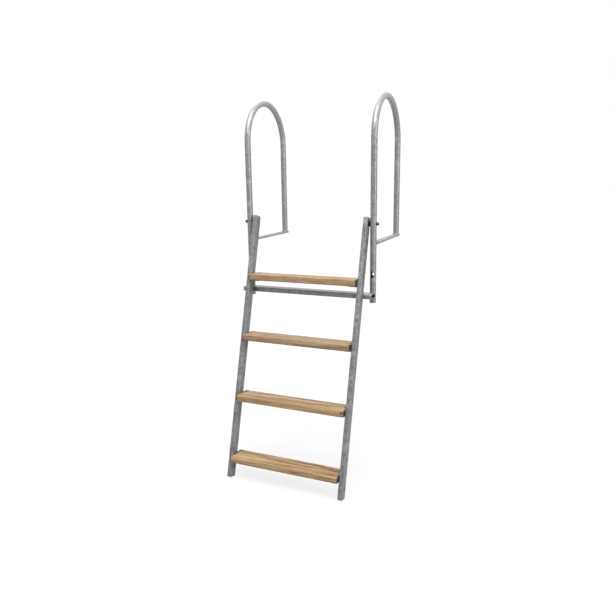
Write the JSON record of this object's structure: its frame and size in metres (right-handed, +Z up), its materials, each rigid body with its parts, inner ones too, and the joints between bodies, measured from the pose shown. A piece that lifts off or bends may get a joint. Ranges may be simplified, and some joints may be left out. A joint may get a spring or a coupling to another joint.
{
  "type": "folding dock ladder",
  "caption": "Galvanised steel dock ladder with looped handrails and wooden treads, hinged below the handrails so it swings up and folds over onto the deck.",
  "frame": {"origin": "on the underside of the left deck foot, on the axis of the left handrail's short leg, at deck level", "axes": "+Z up, +Y towards the dock, +X from the left handrail to the right one as seen from the water"},
  "size_m": [0.6314, 0.718, 1.6499],
  "materials": {
    "handrail_zinc": "hot-dip galvanised, matte",
    "foot_zinc": "hot-dip galvanised, matte",
    "weld_zinc": "hot-dip galvanised, matte",
    "crossbar_zinc": "hot-dip galvanised, matte",
    "stringer_zinc": "hot-dip galvanised, matte",
    "lug_zinc": "hot-dip galvanised, matte",
    "bolt_steel": "zinc-plated, gone dull",
    "washer_steel": "dull, darkened",
    "screw_steel": "dull",
    "spacer_black": "matte",
    "tread_wood": "bare planed softwood"
  },
  "bodies": {
    "frame": {"left_handrail": "handrail_zinc", "right_handrail": "handrail_zinc", "left_deck_foot": "foot_zinc", "right_deck_foot": "foot_zinc", "left_welds": "weld_zinc", "right_welds": "weld_zinc", "crossbar": "crossbar_zinc", "left_hinge_bolt": "bolt_steel", "right_hinge_bolt": "bolt_steel", "left_hinge_nut": "bolt_steel", "right_hinge_nut": "bolt_steel", "left_hinge_washer": "washer_steel", "right_hinge_washer": "washer_steel", "left_hinge_spacer": "spacer_black", "right_hinge_spacer": "spacer_black"},
    "ladder": {"left_stringer": "stringer_zinc", "right_stringer": "stringer_zinc", "tread_1": "tread_wood", "tread_2": "tread_wood", "tread_3": "tread_wood", "tread_4": "tread_wood", "left_tread_lugs": "lug_zinc", "right_tread_lugs": "lug_zinc", "left_tread_screws": "screw_steel", "right_tread_screws": "screw_steel"}
  },
  "joints": [
    {"name": "ladder_fold", "type": "hinge", "parent": "frame", "child": "ladder", "pos_m": [0.292, -0.364, 0.0865], "axis": [-1, 0, 0], "range_deg": [0, 256]}
  ]
}
